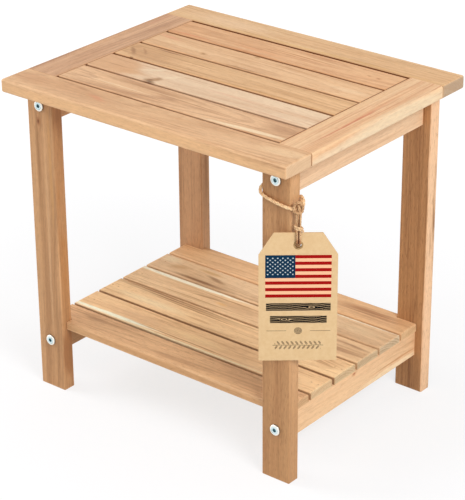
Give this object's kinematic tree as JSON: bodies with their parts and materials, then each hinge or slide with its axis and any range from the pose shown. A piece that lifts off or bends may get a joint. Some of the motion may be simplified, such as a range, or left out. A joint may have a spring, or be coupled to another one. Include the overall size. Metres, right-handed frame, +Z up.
{
  "type": "outdoor side table",
  "caption": "Rectangular two-tier wooden side table with a framed slatted top, flat bolted legs, side rails, a slatted shelf and a blank hang tag on a loop of twine.",
  "frame": {"origin": "on the floor under the middle of the table", "axes": "+X along the table's long side, +Y from the front towards the back, +Z up"},
  "size_m": [0.4897, 0.375, 0.45],
  "materials": {
    "wood_top": "oiled light hardwood",
    "wood_legs": "oiled light hardwood",
    "wood_rails": "oiled light hardwood",
    "wood_shelf": "oiled light hardwood",
    "wood_dowels": "plain beech",
    "zinc_bolts": "bright zinc plate",
    "steel_screws": "zinc plate",
    "tag_card": "uncoated kraft board",
    "eyelet_brass": "antique brass",
    "twine": "waxed twisted twine"
  },
  "bodies": {
    "table": {"top_back_rail": "wood_top", "top_front_rail": "wood_top", "top_right_end_rail": "wood_top", "top_left_end_rail": "wood_top", "top_slat_1": "wood_top", "top_slat_2": "wood_top", "top_slat_3": "wood_top", "top_slat_4": "wood_top", "top_slat_5": "wood_top", "top_batten": "wood_rails", "leg_back_right": "wood_legs", "leg_back_left": "wood_legs", "leg_front_right": "wood_legs", "leg_front_left": "wood_legs", "upper_side_rail_right": "wood_rails", "upper_side_rail_left": "wood_rails", "lower_side_rail_right": "wood_rails", "lower_side_rail_left": "wood_rails", "shelf_slat_1": "wood_shelf", "shelf_slat_2": "wood_shelf", "shelf_slat_3": "wood_shelf", "shelf_slat_4": "wood_shelf", "shelf_slat_5": "wood_shelf", "shelf_slat_6": "wood_shelf", "leg_dowels": "wood_dowels", "frame_dowels": "wood_dowels", "slat_dowels": "wood_dowels", "leg_bolts": "zinc_bolts", "cross_nuts": "zinc_bolts", "top_screws": "steel_screws", "batten_screws": "steel_screws", "shelf_brads": "steel_screws", "twine_loop": "twine", "twine_knot": "twine"},
    "hang_tag": {"tag_card": "tag_card", "tag_eyelet": "eyelet_brass", "tag_string_left": "twine", "tag_string_right": "twine", "tag_middle_knot": "twine", "tag_stopper_knot": "twine"}
  },
  "joints": [
    {"name": "tag_swing", "type": "hinge", "parent": "table", "child": "hang_tag", "pos_m": [0.22239, -0.15277, 0.381], "axis": [-0.7771, -0.6293, 0], "range_deg": [0, 80]}
  ]
}
